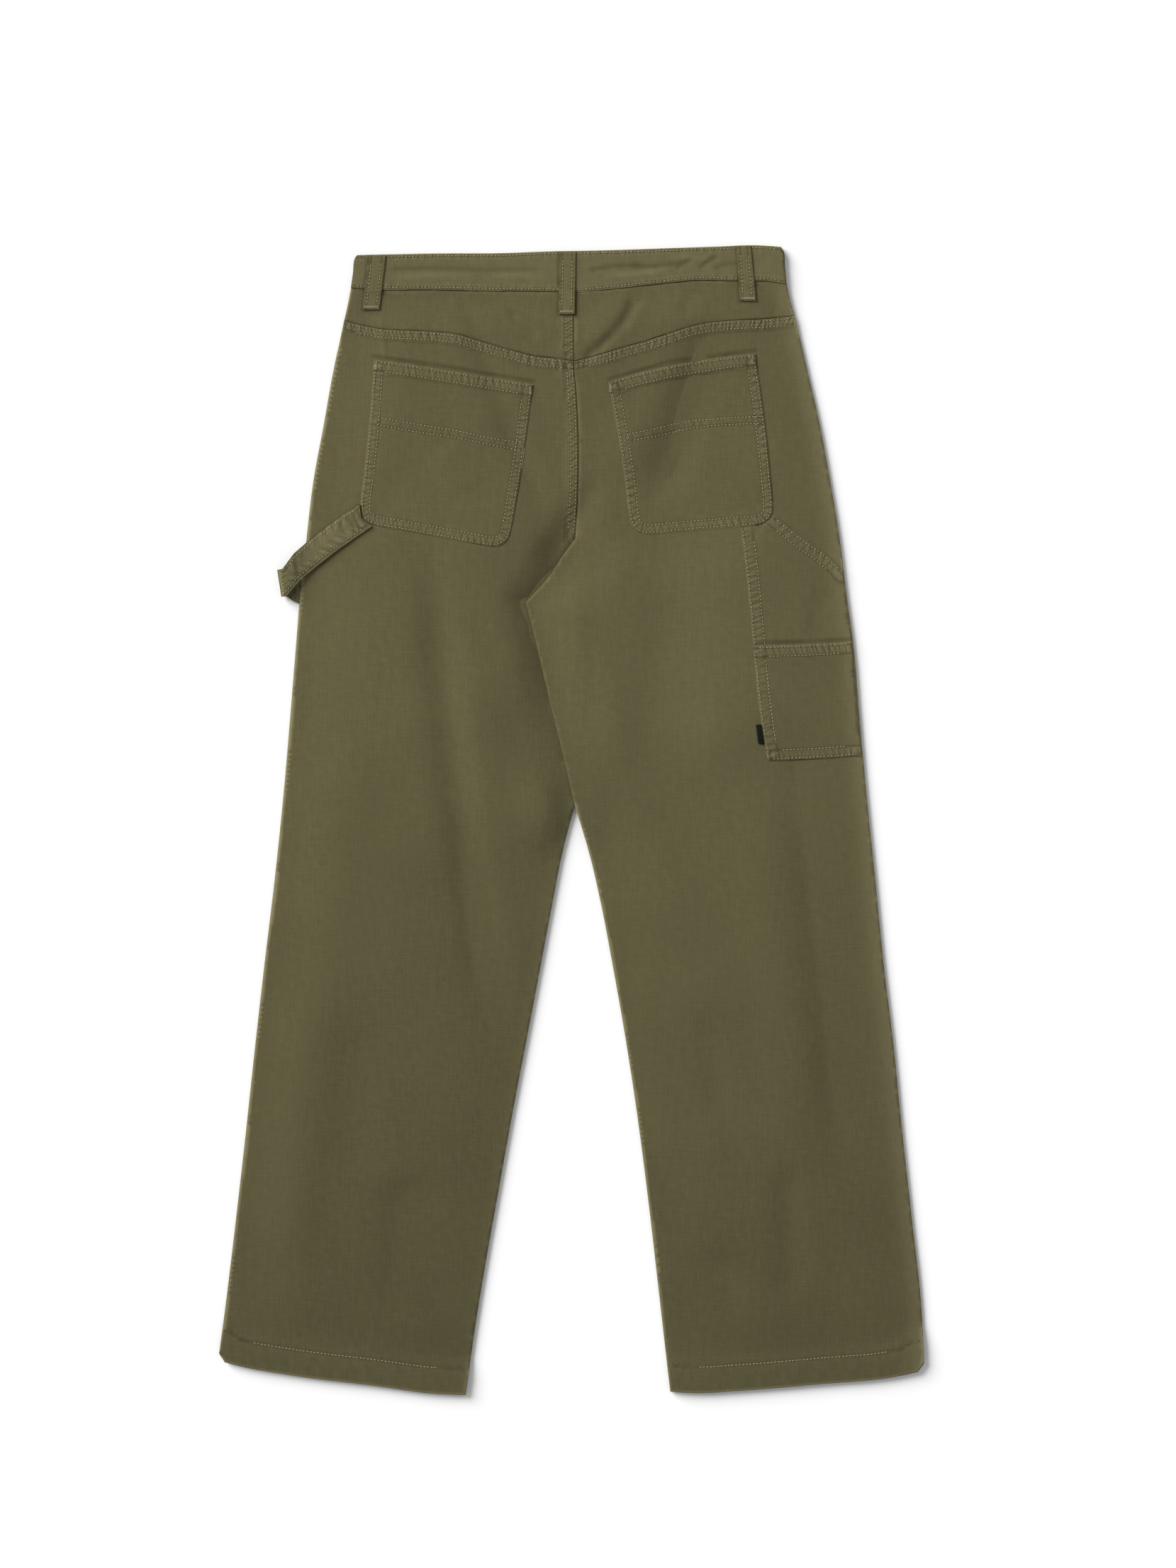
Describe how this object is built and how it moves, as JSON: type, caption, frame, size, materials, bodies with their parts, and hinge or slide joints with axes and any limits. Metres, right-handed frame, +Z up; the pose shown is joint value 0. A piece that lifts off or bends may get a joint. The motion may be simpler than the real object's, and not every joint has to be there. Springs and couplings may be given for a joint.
{
  "type": "wide-leg trousers",
  "caption": "Wide-leg canvas work trousers with back pockets, tool pocket and hammer loop, laid flat with the back up.",
  "frame": {"origin": "centre of the bounding box in plan, on the surface that the trousers lie on", "axes": "+Y along the legs towards the waist, +X towards the wearer's right, +Z up off the surface, the way the back faces"},
  "size_m": [0.6504, 1.0608, 0.0106],
  "materials": {
    "canvas": "washed olive cotton canvas, matt, with tonal stitching",
    "tab": "black woven tab, blank",
    "button": "dull antique brass"
  },
  "bodies": {
    "root": {"front_left": "canvas", "front_right": "canvas", "fly": "canvas", "waist_button": "button", "waistband_front": "canvas", "waistband_back": "canvas", "back_left": "canvas", "back_right": "canvas", "yoke_left": "canvas", "yoke_right": "canvas", "back_pocket_left": "canvas", "back_pocket_right": "canvas", "tool_pocket": "canvas", "tool_pocket_lower": "canvas", "tab_label": "tab", "hammer_loop": "canvas", "belt_loop_left": "canvas", "belt_loop_centre": "canvas", "belt_loop_right": "canvas"}
  },
  "joints": []
}
